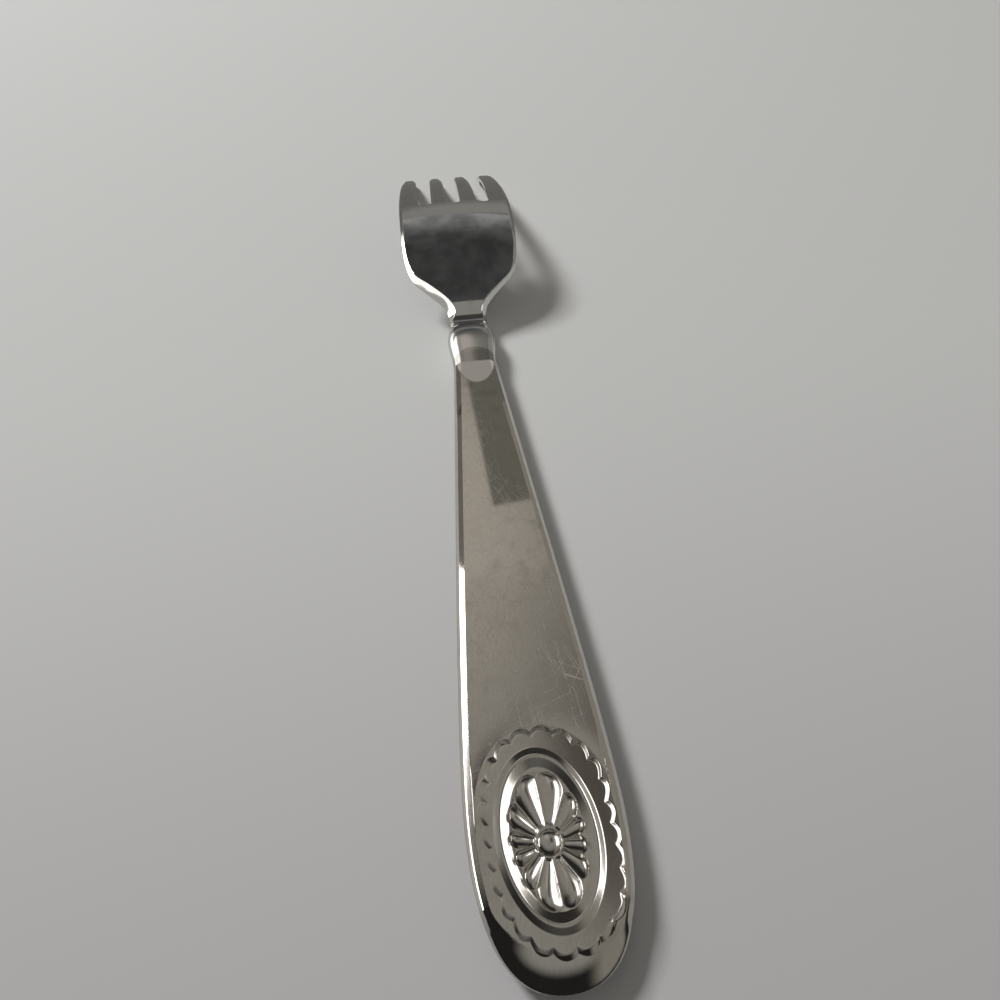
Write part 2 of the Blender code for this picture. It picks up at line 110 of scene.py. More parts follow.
def makePiece(name, points, faces, crease=40.0, lines=None, polish=None, worn=None):
    # a closed, smooth-shaded piece at the origin, sharp above the crease angle and along the marked lines
    weld = 2e-7  # points nearer than this become one
    mesh = bpy.data.meshes.new(name)
    mesh.from_pydata(points.tolist(), [], np.concatenate(faces).tolist())
    worn = np.ones(len(points)) if worn is None else worn
    for key, values in (("onLine", lines), ("polish", polish), ("worn", worn)):  # kept edges, shine, scratches
        if values is not None:
            mesh.attributes.new(key, "FLOAT", "POINT").data.foreach_set("value", values.astype(float))
    bm = bmesh.new()
    bm.from_mesh(mesh)
    bmesh.ops.remove_doubles(bm, verts=bm.verts, dist=weld)
    bmesh.ops.dissolve_degenerate(bm, dist=weld, edges=bm.edges)
    bmesh.ops.recalc_face_normals(bm, faces=bm.faces)
    bm.to_mesh(mesh)
    bm.free()
    mesh.shade_smooth()
    mesh.set_sharp_from_angle(angle=math.radians(crease))
    if lines is not None:
        kept = np.zeros(len(mesh.vertices))
        mesh.attributes["onLine"].data.foreach_get("value", kept)
        ends = np.zeros(len(mesh.edges) * 2, int)
        mesh.edges.foreach_get("vertices", ends)
        sharp = np.zeros(len(mesh.edges), bool)
        mesh.edges.foreach_get("use_edge_sharp", sharp)
        mesh.edges.foreach_set("use_edge_sharp", sharp | (kept[ends].reshape(-1, 2).min(1) > 0.5))
        mesh.attributes.remove(mesh.attributes["onLine"])
    piece = bpy.data.objects.new(name, mesh)
    scene.collection.objects.link(piece)
    print(name, len(mesh.polygons), "faces")
    return piece


# Head: stamped blank with four tines, bent over a side profile

head = dict(
    start=0.1237,  # from the handle's end to the throat
    length=0.06644, width=0.02559, widest=0.0242,  # flat blank, measured from the throat's start
    throatWidth=0.0083, throatLength=0.0033,
    shoulderWidth=0.0166, shoulderAt=0.0092, shoulderSlope=0.95,
    throatPull=0.0024, shoulderPullIn=0.0022, shoulderPullOut=0.0035,
    palmPull=0.0117, tinePull=0.0135, tipPull=0.0110, tipBow=0.0009,
    palmLength=0.0318, outerTine=0.0046, slot=0.0030, tip=0.0026, draw=0.0004, tipRound=0.0022,
    throatThick=0.0029, palmThick=0.00197, tipThick=0.0013, edge=0.00050, dish=0.0007,
    neckBend=0.0042, straightEnd=0.0175, crestEnd=0.0340,
    neckSlope=math.radians(-15.0), palmSlope=math.radians(33.0), crestSlope=math.radians(-13.5),
    tangStart=1e-6, tangLength=0.0476, tangWidth=0.0050, tangThick=0.0015,
    bevel=0.0007, bevelHeight=0.00065, bevelPower=1.03,
    shoulderBevel=0.0018, shoulderHeight=0.0014, rightShare=0.3,  # wider at the shoulders, less so at the right one
    shoulderFrom=(0.001, 0.005), shoulderTo=(0.019, 0.010),
    tipReach=0.001, clearance=3e-6,  # the tips' points, and what is left under them
    closeFrom=0.94,  # share of the palm after which its rows draw close
)
slotPitch = head["width"] / 2 - head["outerTine"] - head["slot"] / 2
tipPitch = slotPitch - head["draw"]
rootY = head["palmLength"] + head["slot"] / 2  # where the slots' straight sides begin
tipY = head["length"] - head["tipRound"]  # where the tips' rounding begins


def headSide():  # right edge: straight throat, then three cubic curves to the outer tip
    h = head
    along = np.array([0.0, 1.0])
    lean = np.array([1.0, h["shoulderSlope"]])
    throat = np.array([h["throatWidth"] / 2, h["throatLength"]])
    shoulder = np.array([h["shoulderWidth"] / 2, h["shoulderAt"]])
    widest = np.array([h["width"] / 2, h["widest"]])
    tip = np.array([1.5 * tipPitch + h["tip"] / 2, tipY])
    inward, outward = shoulder - lean * h["shoulderPullIn"], shoulder + lean * h["shoulderPullOut"]
    below, above = widest - along * h["palmPull"], widest + along * h["tinePull"]
    return np.vstack([
        [[throat[0], 0.0]],
        bezier(throat, throat + along * h["throatPull"], inward, shoulder, 30),
        bezier(shoulder, outward, below, widest, 60)[1:],
        bezier(widest, above, tip + (h["tipBow"], -h["tipPull"]), tip, 60)[1:],
    ])


def sideProfile(tipSlope):  # the slope runs evenly between its places and is summed along the blank
    h = head
    along = np.linspace(0.0, h["length"], 1501)
    places = [0.0, h["neckBend"], h["straightEnd"], h["crestEnd"], h["length"]]
    slope = np.interp(along, places, [h["neckSlope"], h["palmSlope"], h["palmSlope"], h["crestSlope"], tipSlope])
    middle = (slope[1:] + slope[:-1]) / 2
    forward = np.concatenate([[0.0], np.cumsum(np.cos(middle))]) * along[1]
    upward = np.concatenate([[0.0], np.cumsum(np.sin(middle))]) * along[1]
    return along, forward, upward, slope


def bendBlank(points, profile):  # flat blank carried onto the profile, with its taper and the palm's dish
    h = head
    along, forward, upward, slope = profile
    x, y, z = points.T
    stops = [0.0, h["throatLength"], h["straightEnd"], h["palmLength"], h["length"]]
    thick = np.interp(y, stops, [h["throatThick"], h["throatThick"], h["palmThick"], h["palmThick"], h["tipThick"]])
    sink = h["dish"] * np.interp(y, stops, [0.0, 0.0, 1.0, 1.0, 0.0]) * (2 * x / h["width"]) ** 2
    rise = np.where(y < 0, z, z * thick / h["palmThick"] - sink)
    angle = np.where(y < 0, 0.0, np.interp(y, along, slope))
    level = np.interp(y, along, forward) + np.minimum(y, 0.0) - rise * np.sin(angle)
    height = np.interp(y, along, upward) + rise * np.cos(angle)
    return np.column_stack([x, endY + h["start"] + level, seamZ + height])


def restingProfile(points):  # the tips' slope that lets them just touch the table, found by halving
    h = head
    steep, shallow = math.radians(-88.0), 0.0
    tips = points[points[:, 1] > tipY - h["tipReach"]]
    for _ in range(30):
        middle = (steep + shallow) / 2
        low = bendBlank(tips, sideProfile(middle))[:, 2].min()
        steep, shallow = (middle, shallow) if low < h["clearance"] else (steep, middle)
    return sideProfile(shallow)


def buildHead():  # the flat blank as grids with a height over and under its middle, bent over the side profile
    h = head
    side = headSide()
    ease = np.array([0.0, 0.004, 0.012, 0.025, 0.042, 0.062, 0.086, 0.114, 0.148, 0.19, 0.25, 0.33, 0.41])
    across = np.concatenate([ease, [0.5], 1 - ease[::-1]])  # a tine's width, close at both edges
    arc = (1 - np.cos(np.linspace(0.0, math.pi, 15))) / 2  # a slot's width, close at both edges
    halfSlot = h["slot"] / 2
    rootWide = np.interp(rootY, side[:, 1], side[:, 0])

    # columns of the palm at the slots' roots: tine, slot, tine, slot, tine, slot, tine
    outer, innerEnd, inner = slotPitch + halfSlot, slotPitch - halfSlot, halfSlot
    tines = [(-rootWide, -outer), (-innerEnd, -inner), (inner, innerEnd), (outer, rootWide)]
    gaps = [(-outer, -innerEnd), (-inner, inner), (innerEnd, outer)]
    columns, spans = [], []
    for k, (low, high) in enumerate(tines):
        spans.append(slice(len(columns), len(columns) + len(across)))
        columns += list(low + (high - low) * across)
        if k < len(gaps):
            columns += list(gaps[k][0] + (gaps[k][1] - gaps[k][0]) * arc[1:-1])
    columns = np.array(columns)
    fromSlot = np.abs((np.abs(columns) + slotPitch / 2) % slotPitch - slotPitch / 2)
    inSlot = (fromSlot < halfSlot) & (np.abs(columns) < outer)
    dip = np.sqrt(np.maximum(halfSlot**2 - fromSlot**2, 0.0)) * inSlot  # round bottom of a slot

    # palm grid: rows from the throat to the slots' bottoms, columns drawn in with the outline
    close = 1 - (1 - h["closeFrom"]) * np.linspace(1.0, 0.0, 14)[1:] ** 2
    rows = np.concatenate([np.linspace(0.0, h["closeFrom"], 90), close])
    palmY = rows[:, None] * (rootY - dip)[None]
    palmX = columns[None] * (np.interp(palmY, side[:, 1], side[:, 0]) / rootWide)

    # tine grids: from the roots to the tips, rows closer where the tip rounds off
    tipRows = tipY + np.sin(np.linspace(0.0, math.pi / 2, 18))[1:] * h["tipRound"]
    tineRows = np.concatenate([rootY + (tipY - rootY) * np.linspace(0.0, 1.0, 60), tipRows])
    share = np.clip((tineRows - rootY) / (tipY - rootY), 0.0, 1.0)
    shrink = np.sqrt(np.clip(1 - ((tineRows - tipY) / h["tipRound"]) ** 2, 0.0, 1.0))
    shrink = np.where(tineRows > tipY, shrink, 1.0)
    flats = [np.column_stack([palmX.ravel(), palmY.ravel()])]
    tables = [np.arange(palmX.size).reshape(palmX.shape)]
    outlines = []
    for k, (low, high) in enumerate(tines):
        centre = (k - 1.5) * tipPitch
        left = low + (centre - h["tip"] / 2 - low) * share
        right = high + (centre + h["tip"] / 2 - high) * share
        if k == 0:
            left = -np.interp(np.minimum(tineRows, tipY), side[:, 1], side[:, 0])
        if k == 3:
            right = np.interp(np.minimum(tineRows, tipY), side[:, 1], side[:, 0])
        left, right = centre + (left - centre) * shrink, centre + (right - centre) * shrink
        x = left[:, None] + (right - left)[:, None] * across[None]
        y = np.repeat(tineRows[:, None], len(across), 1)
        tables.append(np.arange(x.size).reshape(x.shape) + sum(len(f) for f in flats))
        flats.append(np.column_stack([x.ravel(), y.ravel()]))
        outlines += [np.column_stack([left, tineRows]), np.column_stack([right, tineRows])]
    flat = np.vstack(flats)

    # height over the blank's middle: flat, then a bevel between a chamfer and a round, widest at the shoulders
    turn = np.linspace(0.0, math.pi, 41)
    for k in (-1, 0, 1):
        bottom = np.column_stack([k * slotPitch + halfSlot * np.cos(turn), rootY - halfSlot * np.sin(turn)])
        outlines.append(bottom)
    outlines += [side, side * (-1, 1)]
    starts = np.vstack([o[:-1] for o in outlines])
    ends = np.vstack([o[1:] for o in outlines])
    inside = edgeDistance(flat, starts, ends)
    atShoulder = smooth(*h["shoulderFrom"], flat[:, 1]) * smooth(*h["shoulderTo"], flat[:, 1])
    atShoulder *= np.where(flat[:, 0] > 0, h["rightShare"], 1.0)

    def bevelled(width, fall):  # half the thickness less a fall along a corner of a power curve
        out = np.clip(1 - inside / width, 0.0, 1.0)
        return h["palmThick"] / 2 - fall * (1 - (1 - out ** h["bevelPower"]) ** (1 / h["bevelPower"]))

    height = bevelled(h["bevel"] + (h["shoulderBevel"] - h["bevel"]) * atShoulder,
                      h["bevelHeight"] + (h["shoulderHeight"] - h["bevelHeight"]) * atShoulder)
    depth = bevelled(h["edge"], h["edge"])

    # tang: the palm's first row drawn in to a flat bar that runs back into the handle
    bar = columns / rootWide * h["tangWidth"] / 2
    tang = np.vstack([np.column_stack([bar, np.full(len(bar), y)]) for y in (-h["tangStart"], -h["tangLength"])])
    tangTable = np.arange(len(tang)).reshape(2, -1) + len(flat)
    flat = np.vstack([flat, tang])
    height = np.concatenate([height, np.full(len(tang), h["tangThick"] / 2)])
    depth = np.concatenate([depth, np.full(len(tang), h["tangThick"] / 2)])
    tables[0] = np.vstack([tangTable[::-1], tables[0]])

    # both faces of every grid, then bands round all free rims
    count = len(flat)
    points = np.vstack([np.column_stack([flat, height]), np.column_stack([flat, -depth])])
    faces = [gridQuads(t) for t in tables] + [gridQuads(t + count)[:, ::-1] for t in tables]
    rims = [tables[0][:, 0], tables[0][:, -1], tables[0][0]]
    for k in range(3):
        rims.append(tables[0][-1, spans[k].stop - 1:spans[k + 1].start + 1])
    for t in tables[1:]:
        rims += [t[:, 0], t[:, -1]]
    faces += [bandQuads(rim, rim + count) for rim in rims]
    return makePiece("forkHead", bendBlank(points, restingProfile(points)), faces)


# Collar: barrel of rounded sections between the handle's mouth and the throat

collar = dict(
    start=0.11102, length=0.01228, mouthWidth=0.0090, mouthThick=0.0048,
    places=[-0.25, 0.0, 0.25, 0.55, 0.64, 0.78, 0.90, 1.0],  # along it, with how far it stands proud of the mouth
    proud=[-0.00010, 0.00002, 0.00014, 0.00053, 0.00057, 0.00045, 0.00010, -0.00022], mean=121, margin=0.2,
    rearEdge=0.00006, rearDrop=0.00003, frontEdge=0.0012, frontDrop=0.0005, squareness=2.5,
    slotWidth=0.0056, slotHeight=0.0021, slotSquareness=12.0, crease=50.0,
    closeTo=0.1, closeFrom=0.86,  # the rings lie closer outside these shares
)


def superOval(width, height, squareness, turn):  # rounded box whose corners follow a power of cosine and sine
    c, s = np.cos(turn), np.sin(turn)
    return (np.sign(c) * np.abs(c) ** (2 / squareness) * width / 2,
            np.sign(s) * np.abs(s) ** (2 / squareness) * height / 2)


def buildCollar():  # rounded sections along a table of how proud they stand, then back along the tang's slot
    c = collar
    turn = np.linspace(0.0, 2 * math.pi, 161)
    t = np.concatenate([
        np.linspace(0.0, c["closeTo"], 14)[:-1],
        np.linspace(c["closeTo"], c["closeFrom"], 36)[:-1],
        np.linspace(c["closeFrom"], 1.0, 20),
    ])
    proud = roundedTable(t, c["places"], c["proud"], c["mean"], c["margin"])
    proud -= quarterRound(t * c["length"], c["rearEdge"]) * c["rearDrop"]
    proud -= quarterRound((1 - t) * c["length"], c["frontEdge"]) * c["frontDrop"]
    rings = []
    for along, out in zip(t, proud):
        x, z = superOval(c["mouthWidth"] + 2 * out, c["mouthThick"] + 2 * out, c["squareness"], turn)
        rings.append(np.column_stack([x, np.full(len(turn), along * c["length"]), z]))
    x, z = superOval(c["slotWidth"], c["slotHeight"], c["slotSquareness"], turn)
    rings += [np.column_stack([x, np.full(len(turn), y), z]) for y in (c["length"], 0.0)]
    rings.append(rings[0])
    points = np.vstack(rings) + (0.0, endY + c["start"], seamZ)
    return makePiece("neckCollar", points, [gridQuads(np.arange(len(points)).reshape(len(rings), -1))], c["crease"])


# Handle shells: a height over the flat outline, with a rolled edge and the rosette's relief

shell = dict(
    width=0.0231, widest=0.0215, mouthWidth=0.0090, mouthTaper=0.085, thick=0.0048,
    endPull=0.0062, sidePull=0.0175, waistPull=0.0120, mouthPull=0.0380,
    sideRoll=0.00145, innerShare=0.6,  # two facets along the sides, and the inner one's share
    innerTilt=math.radians(37.0), outerTilt=math.radians(46.0),
    endRoll=0.0044, endTilt=math.radians(43.0), endFrom=0.0030, endTo=0.0108,  # one smooth round at the end
    wall=0.0006, innerDrop=1.2, leastInner=0.5, seamGap=0.0001, crown=0.00005, reliefSink=0.0003,
    polishedFrom=(0.052, 0.070), rollPolish=0.75, reliefPolish=0.32,  # 0 satin, 1 mirror
    wornTo=(0.066, 0.084), leastWear=0.15,
    bluntRows=0.0034, rowStep=0.000105, fineTo=0.0362, mouthRows=0.008,  # where rows lie close
    panelColumns=88, panelShare=0.992, leastPanel=0.6, innerColumns=15,
    facetColumns=[0.0, 0.02, 0.1, 0.2, 0.3, 0.4, 0.5, 0.585, 0.615, 0.7, 0.8, 0.9, 1.0],
    borderFrom=0.009, crease=70.0,  # the panel's border is a sharp line from here on
)
rosette = dict(
    at=(-0.0001, 0.0185), turn=math.radians(4.0), lobes=24, petals=12,
    plate=(0.0211, 0.0311), plateShift=0.0006, fullness=2.25, plateHeight=0.00042,
    plateCrown=0.00022, crownAt=0.01,  # how far the plate falls, at this distance from its middle line
    lobeDepth=0.00068, lobeFall=(0.0016, 0.0009, 0.0014),  # fall at the sides, the top and the bottom
    topLobes=(0.6, 0.9), topTurn=0.35, bottomLobes=(0.35, 0.75),  # sines of the angles between which they change
    lobeSink=0.00016, lobePower=1.1, lobeGroove=0.00006, grooveFrom=0.0014, grooveTo=0.0003,
    weakness=0.12, weakFrom=0.70, weakTurn=0.25,  # the die bit less towards the blunt end
    foot=(0.0153, 0.0246), dish=(0.0098, 0.0178), dishHeight=0.00004, ringHeight=0.00086,
    ringPlaces=[0.0, 0.145, 0.538, 0.573, 0.607, 0.641, 0.684, 0.974, 1.0],  # from the dish to the ring's foot
    ringHeights=[0.0, 0.10, 0.94, 1.0, 0.93, 1.0, 0.95, 0.03, 0.0], ringMean=61, ringMargin=0.5, ringMiddle=0.59,
    middle=-0.0008, boss=0.0034, bossHeight=0.00086, moat=0.0001,
    petalEnd=(0.0106, 0.0186), petalShift=0.6, petalHeight=0.00078, petalPower=0.95,
    petalScoop=0.0011, scoopPower=1.4,  # the valleys end this much sooner than the ridges
    petalStart=0.12, petalLow=0.35, petalRise=0.8, petalRound=0.74, roundPower=2.2,
    petalTo=0.4,  # share of the ring's inner slope that the petals may lie on
    dipDepth=0.00018, dipWidth=0.0036, dipFrom=(0.15, 0.75), dipPower=3,  # the panel sinks towards the plate's top
    aroundEdge=0.0004, furthestFall=1.6,  # how far outside the lobes the relief is still looked at
)


def handleSide():  # right edge from the blunt end over the widest point to the mouth
    s = shell
    half, mouth = s["width"] / 2, s["mouthWidth"] / 2
    widest = (half, s["widest"])
    pull = (mouth + s["mouthTaper"] * s["mouthPull"], mouthFromEnd - s["mouthPull"])
    blunt = bezier((0.0, 0.0), (s["endPull"], 0.0), (half, s["widest"] - s["sidePull"]), widest, 160)
    taper = bezier(widest, (half, s["widest"] + s["waistPull"]), pull, (mouth, mouthFromEnd), 120)
    return np.vstack([blunt, taper[1:]])


def ovalReach(size, angle, fullness=2.0):  # radius of an oval along a ray, squarer above a fullness of two
    wide, tall = np.abs(np.cos(angle) / size[0]), np.abs(np.sin(angle) / size[1])
    return 0.5 / (wide ** fullness + tall ** fullness) ** (1 / fullness)


def evenTurn(angle, size, fullness):  # share of an oval's edge passed at an angle, as a turn
    fine = np.linspace(-math.pi, math.pi, 3001)
    reach = ovalReach(size, fine, fullness)
    x, y = reach * np.cos(fine), reach * np.sin(fine)
    run = np.concatenate([[0.0], np.cumsum(np.hypot(np.diff(x), np.diff(y)))])
    return np.interp(angle, fine, run / run[-1] * 2 * math.pi - math.pi)


def rosetteRelief(x, y):  # height over the panel, the points it holds for, and the panel's dip above the plate
    r = rosette
    dx, dy = x - r["at"][0], y - r["at"][1]
    c, s = math.cos(r["turn"]), math.sin(r["turn"])
    dx, dy = dx * c + dy * s, dy * c - dx * s
    reach, angle = np.hypot(dx, dy), np.arctan2(dy, dx)
    fromBoss, bossAngle = np.hypot(dx, dy - r["middle"]), np.arctan2(dy - r["middle"], dx)
    floor = r["dishHeight"]

    # boss: a dome on the dish's floor
    boss = r["boss"] / 2
    dome = floor + (r["bossHeight"] - floor) * np.sqrt(np.clip(1 - (fromBoss / boss) ** 2, 0.0, 1.0))

    # petals: ridges between sharp valleys, rising outwards and rounded at their ends
    ridge = np.abs(np.sin(r["petals"] / 2 * bossAngle)) ** r["petalPower"]
    begin = boss + r["moat"]
    full = ovalReach(r["petalEnd"], bossAngle) - r["petalShift"] * r["middle"] * np.sin(bossAngle)
    end = full - r["petalScoop"] * (1 - ridge) ** r["scoopPower"]
    t = np.clip((fromBoss - begin) / (end - begin), 0.0, 1.0)
    ending = np.clip((t - r["petalRound"]) / (1 - r["petalRound"]), 0.0, 1.0)
    fade = np.sqrt(np.clip(1 - ending ** r["roundPower"], 0.0, 1.0))
    lift = r["petalLow"] + (1 - r["petalLow"]) * smooth(0.0, r["petalRise"], t)
    petal = floor + r["petalHeight"] * ridge * lift * smooth(0.0, r["petalStart"], t) * fade

    # ring: a table of heights from the dish's oval to the foot's
    dishReach = ovalReach(r["dish"], angle)
    share = (reach - dishReach) / (ovalReach(r["foot"], angle) - dishReach)
    rise = roundedTable(share, r["ringPlaces"], r["ringHeights"], r["ringMean"], r["ringMargin"])

    # plate: slightly crowned, with lobes that fall off evenly and grooves that run in between them
    reach, angle = np.hypot(dx - r["plateShift"], dy), np.arctan2(dy, dx - r["plateShift"])
    rim = ovalReach(r["plate"], angle, r["fullness"])
    lobe = np.abs(np.sin(r["lobes"] / 2 * evenTurn(angle, r["plate"], r["fullness"])))
    edge = rim - r["lobeDepth"] * (1 - lobe)
    atSide, atTop, atBottom = r["lobeFall"]
    fall = atSide + (atTop - atSide) * smooth(*r["topLobes"], np.sin(angle + r["topTurn"]))
    fall += (atBottom - atSide) * smooth(*r["bottomLobes"], -np.sin(angle))
    out = np.clip((reach - (edge - fall)) / fall, 0.0, None)
    weak = 1 - r["weakness"] * smooth(r["weakFrom"], 1.0, -np.sin(angle + r["weakTurn"]))
    between = smooth(edge - r["grooveFrom"], edge - r["grooveTo"], reach)
    groove = r["lobeGroove"] * weak * (1 - lobe) ** 2 * between
    plateTop = r["plateHeight"] * weak - r["plateCrown"] * (dx / r["crownAt"]) ** 2
    plate = plateTop - groove - (r["plateHeight"] * weak + r["lobeSink"]) * out ** r["lobePower"]

    base = np.where(share < r["ringMiddle"], floor, plateTop)
    ring = np.where(share >= 1, plate, base + (r["ringHeight"] - base) * rise)
    height = np.where(share < r["petalTo"], np.maximum(petal, ring), ring)
    height = np.where(fromBoss < begin, np.maximum(dome, floor), height)
    above = np.clip(1 - (reach - rim) / r["dipWidth"], 0.0, 1.0) ** r["dipPower"]
    dip = r["dipDepth"] * smooth(*r["dipFrom"], np.sin(angle)) * above
    return height, (reach < edge + r["aroundEdge"]) & (out < r["furthestFall"]), dip


def rollWidth(y):  # width of the rolled edge, which grows towards the blunt end, and 1 where it is the end's
    atEnd = 1 - smooth(shell["endFrom"], shell["endTo"], y)
    return shell["sideRoll"] + (shell["endRoll"] - shell["sideRoll"]) * atEnd, atEnd


def shellBody(x, y, side):  # panel height less the rolled edge, and how far out on the roll a point lies
    # two flat facets along the sides; at the end the tilt grows evenly, so the drop is a log of a cosine
    s = shell
    other = side * (-1, 1)
    starts, ends = np.vstack([side[:-1], other[:-1]]), np.vstack([side[1:], other[1:]])
    inside = edgeDistance(np.column_stack([x.ravel(), y.ravel()]), starts, ends).reshape(x.shape)
    roll, atEnd = rollWidth(y)
    out = np.clip(1 - inside / roll, 0.0, 1.0)
    inner = np.minimum(out, s["innerShare"])
    facets = inner * math.tan(s["innerTilt"]) + (out - inner) * math.tan(s["outerTilt"])
    rounded = -np.log(np.cos(s["endTilt"] * out)) / s["endTilt"]
    drop = roll * (facets + (rounded - facets) * atEnd)
    crown = s["crown"] * np.minimum(np.abs(x) / (s["width"] / 2), 1.0) ** 2
    return s["thick"] / 2 - crown - drop, out


def buildShells():  # an outer and an inner sheet joined at the seam and the mouth, and the same turned over
    s = shell
    side = handleSide()
    # rows along the handle: close round the blunt end and over the rosette, wide on the plain panel
    blunt = s["bluntRows"] * (1 - np.cos(np.linspace(0.0, math.pi / 2, 30)))
    fine = np.arange(blunt[-1] + s["rowStep"], s["fineTo"], s["rowStep"])
    nearMouth = mouthFromEnd - s["mouthRows"]
    rows = np.concatenate([
        blunt, fine, np.linspace(fine[-1], nearMouth, 30)[1:], np.linspace(nearMouth, mouthFromEnd, 26)[1:],
    ])
    half = np.interp(rows, side[:, 1], side[:, 0])

    # columns across: even on the panel, whose border lies one roll inside the outline, then close on the facets
    run = np.gradient(side, axis=0)
    run /= np.hypot(run[:, :1], run[:, 1:])
    border = side + np.column_stack([-run[:, 1], run[:, 0]]) * rollWidth(side[:, 1])[0][:, None]
    panel = np.interp(rows, border[:, 1], border[:, 0])
    panel = np.where(rows < s["endTo"], np.maximum(panel, s["leastPanel"] * half), panel)
    even = np.linspace(0.0, s["panelShare"], s["panelColumns"])
    facet = np.array(s["facetColumns"])
    right = np.hstack([panel[:, None] * even, panel[:, None] + (half - panel)[:, None] * facet])
    x = np.hstack([-right[:, :0:-1], right])
    y = np.repeat(rows[:, None], x.shape[1], 1)

    # outer face: the body with the relief on it
    body, out = shellBody(x, y, side)
    relief, within, dip = rosetteRelief(x, y)
    plain = body - dip * (out <= 0)
    top = np.where(within, np.maximum(plain, body + relief - s["reliefSink"] * out), plain)

    # inner face: a coarse copy one wall inside, with the same rows so that the seam closes
    coarse = np.sin(np.linspace(-math.pi / 2, math.pi / 2, s["innerColumns"]))
    innerX = np.maximum(half - s["wall"], half * s["leastInner"])[:, None] * coarse[None]
    innerRows = s["wall"] + rows * (mouthFromEnd - s["wall"]) / mouthFromEnd
    innerY = np.repeat(innerRows[:, None], len(coarse), 1)
    innerZ = shellBody(innerX, innerY, side)[0] - s["wall"] * s["innerDrop"]
    lip = s["seamGap"] / 2
    sheets = [np.stack([x, y, top], -1), np.stack([innerX, innerY, np.maximum(innerZ, lip)], -1)]
    rims = []
    for column in (0, -1):
        rims.append(np.column_stack([x[:, column], rows, np.full(len(rows), lip)]))
        rims.append(np.column_stack([innerX[:, column], innerY[:, column], np.full(len(rows), lip)]))
    points = np.vstack([sheet.reshape(-1, 3) for sheet in sheets] + rims)

    # faces: both sheets, the lips along the seam, the mouth's edge and its two corners
    outerTable = np.arange(x.size).reshape(x.shape)
    innerTable = np.arange(innerX.size).reshape(innerX.shape) + x.size
    first = x.size + innerX.size
    rimTables = [first + k * len(rows) + np.arange(len(rows)) for k in range(4)]
    faces = [gridQuads(outerTable), gridQuads(innerTable)[:, ::-1]]
    corners = []
    for column, outerRim, innerRim in ((0, rimTables[0], rimTables[1]), (-1, rimTables[2], rimTables[3])):
        chain = [outerTable[:, column], outerRim, innerRim, innerTable[:, column]]
        faces += [bandQuads(a, b) for a, b in zip(chain, chain[1:])]
        corners.append([line[-1] for line in chain])
    match = np.abs(x[-1][:, None] - innerX[-1][None]).argmin(1)
    faces += [bandQuads(outerTable[-1], innerTable[-1][match]), np.array(corners)]

    # by point: the roll is shiny and unworn, the relief and the upper panel are shinier and less worn than the rest
    polish, worn = np.zeros(len(points)), np.zeros(len(points))
    shine = np.maximum(smooth(*s["polishedFrom"], y), np.where(within, s["reliefPolish"], 0.0))
    polish[:x.size] = np.where(out > 0, s["rollPolish"], shine).ravel()
    wear = np.where(within, s["leastWear"], 1.0) * (1 - (1 - s["leastWear"]) * smooth(*s["wornTo"], y))
    worn[:x.size] = np.where(out > 0, 0.0, wear).ravel()
    lines = np.zeros(len(points), bool)
    for column in (len(facet) - 1, x.shape[1] - len(facet)):
        lines[outerTable[:, column]] = rows > s["borderFrom"]  # border of the panel
    place = np.array([0.0, endY, seamZ])
    back = makePiece("handleBackShell", points + place, faces, s["crease"], lines, polish, worn)
    front = makePiece("handleFrontShell", points * (-1, 1, -1) + place, faces, s["crease"], lines, polish, worn)
    return back, front


headPiece = buildHead()
collarPiece = buildCollar()
backPiece, frontPiece = buildShells()


# Finishes

def feed(tree, socket, value):  # a link from another socket, or a plain value
    if isinstance(value, bpy.types.NodeSocket):
        tree.links.new(value, socket)
    else:
        socket.default_value = value


def addNode(tree, kind, **values):  # a node with its settings
    node = tree.nodes.new(kind)
    for key, value in values.items():
        setattr(node, key, value)
    return node


def whereNode(tree, kind="Object"):  # a point's place
    return addNode(tree, "ShaderNodeTexCoord").outputs[kind]


def splitNode(tree, vector):  # a vector's three numbers
    node = addNode(tree, "ShaderNodeSeparateXYZ")
    tree.links.new(vector, node.inputs[0])
    return node.outputs


def mathNode(tree, operation, a, b=None):  # one sum on sockets or numbers
    node = addNode(tree, "ShaderNodeMath", operation=operation)
    feed(tree, node.inputs[0], a)
    if b is not None:
        feed(tree, node.inputs[1], b)
    return node.outputs[0]


def rangeNode(tree, value, low, high, newLow=0.0, newHigh=1.0):  # one range carried onto another along an S curve
    node = addNode(tree, "ShaderNodeMapRange", interpolation_type="SMOOTHSTEP")
    tree.links.new(value, node.inputs["Value"])
    for key, number in (("From Min", low), ("From Max", high), ("To Min", newLow), ("To Max", newHigh)):
        node.inputs[key].default_value = number
    return node.outputs["Result"]


def noiseNode(tree, vector, scale, detail=2.0):  # soft noise from 0 to 1
    node = addNode(tree, "ShaderNodeTexNoise")
    feed(tree, node.inputs["Scale"], scale)
    node.inputs["Detail"].default_value = detail
    tree.links.new(vector, node.inputs["Vector"])
    return node.outputs["Fac"]


def mixNode(tree, factor, a, b):  # colour a giving way to colour b
    node = addNode(tree, "ShaderNodeMix", data_type="RGBA")
    tree.links.new(factor, node.inputs["Factor"])
    for key, value in (("A", a), ("B", b)):
        feed(tree, node.inputs[key], value if isinstance(value, bpy.types.NodeSocket) else (*value, 1.0))
    return node.outputs["Result"]


def newMaterial(name):  # a material, its tree and its shader
    material = bpy.data.materials.new(name)
    material.use_nodes = True
    return material, material.node_tree, material.node_tree.nodes["Principled BSDF"]


